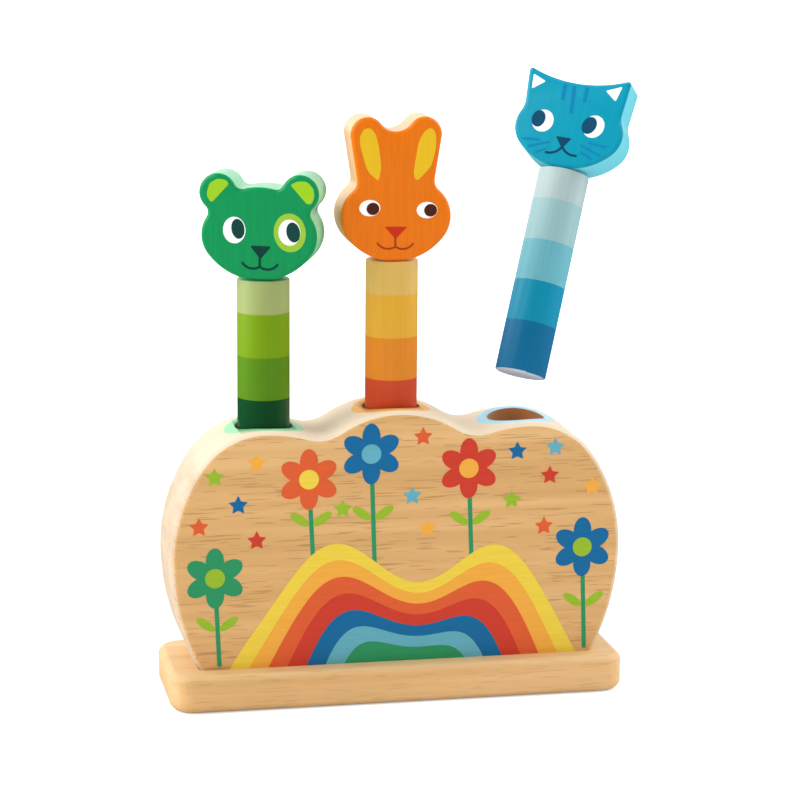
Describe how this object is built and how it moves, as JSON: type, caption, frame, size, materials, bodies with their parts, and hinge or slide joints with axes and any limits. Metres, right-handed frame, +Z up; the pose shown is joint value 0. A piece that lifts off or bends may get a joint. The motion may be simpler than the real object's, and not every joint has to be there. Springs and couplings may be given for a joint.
{
  "type": "pop up animal toy",
  "caption": "Wooden pop up toy: a cloud shaped block on a plank with spring loaded bores that hold removable animal pegs.",
  "frame": {"origin": "middle of the base plank's underside, on the surface the toy stands on", "axes": "+X along the plank towards the cat, +Y from the printed front to the back, +Z up along the bores"},
  "size_m": [0.1935, 0.0783, 0.2373],
  "materials": {
    "natural_wood": "clear satin lacquer",
    "bear_paint": "satin water paint",
    "rabbit_paint": "satin water paint",
    "cat_paint": "satin water paint",
    "green_bands": "satin water paint in bands",
    "orange_bands": "satin water paint in bands",
    "blue_bands": "satin water paint in bands",
    "bare_wood": "turned, unpainted",
    "spring_steel": "bright drawn wire",
    "screw_steel": "zinc plated"
  },
  "bodies": {
    "block": {"base_plank": "natural_wood", "play_block": "natural_wood", "base_screws": "screw_steel", "spring_staples": "spring_steel"},
    "bear_coil": {"bear_spring": "spring_steel"},
    "bear_seat": {"bear_spring_cap": "bare_wood"},
    "bear_figure": {"bear_dowel": "green_bands", "bear_neck_pin": "bare_wood", "bear_head": "bear_paint"},
    "rabbit_coil": {"rabbit_spring": "spring_steel"},
    "rabbit_seat": {"rabbit_spring_cap": "bare_wood"},
    "rabbit_figure": {"rabbit_dowel": "orange_bands", "rabbit_neck_pin": "bare_wood", "rabbit_head": "rabbit_paint"},
    "cat_coil": {"cat_spring": "spring_steel"},
    "cat_seat": {"cat_spring_cap": "bare_wood"},
    "cat_figure": {"cat_dowel": "blue_bands", "cat_neck_pin": "bare_wood", "cat_head": "cat_paint"}
  },
  "joints": [
    {"name": "bear_press", "type": "slide", "parent": "block", "child": "bear_coil", "axis": [0, 0, 1], "range_m": [-0.025, 0], "stiffness_N_per_m": 600, "springref_m": 0.001, "deforming": ["bear_spring"]},
    {"name": "bear_turn", "type": "hinge", "parent": "bear_coil", "child": "bear_seat", "pos_m": [-0.0495, 0, 0.0347], "axis": [0, 0, 1], "continuous": true},
    {"name": "bear_lift", "type": "slide", "parent": "bear_seat", "child": "bear_figure", "axis": [0, 0, 1], "range_m": [0, 0.04]},
    {"name": "rabbit_press", "type": "slide", "parent": "block", "child": "rabbit_coil", "axis": [0, 0, 1], "range_m": [-0.025, 0], "stiffness_N_per_m": 600, "springref_m": 0.001, "deforming": ["rabbit_spring"]},
    {"name": "rabbit_turn", "type": "hinge", "parent": "rabbit_coil", "child": "rabbit_seat", "pos_m": [0, 0, 0.0409], "axis": [0, 0, 1], "continuous": true},
    {"name": "rabbit_lift", "type": "slide", "parent": "rabbit_seat", "child": "rabbit_figure", "axis": [0, 0, 1], "range_m": [0, 0.04]},
    {"name": "cat_press", "type": "slide", "parent": "block", "child": "cat_coil", "axis": [0, 0, 1], "range_m": [-0.01, 0], "stiffness_N_per_m": 600, "springref_m": 0.001, "deforming": ["cat_spring"]},
    {"name": "cat_turn", "type": "hinge", "parent": "cat_coil", "child": "cat_seat", "pos_m": [0.0495, 0, 0.0347], "axis": [0, 0, 1], "range_deg": [-45, 45]},
    {"name": "cat_pop", "type": "hinge", "parent": "cat_seat", "child": "cat_figure", "pos_m": [0.12304, 0.07354, 0.0935], "axis": [-0.7071, 0.7071, 0], "range_deg": [-22.5, 0]}
  ]
}
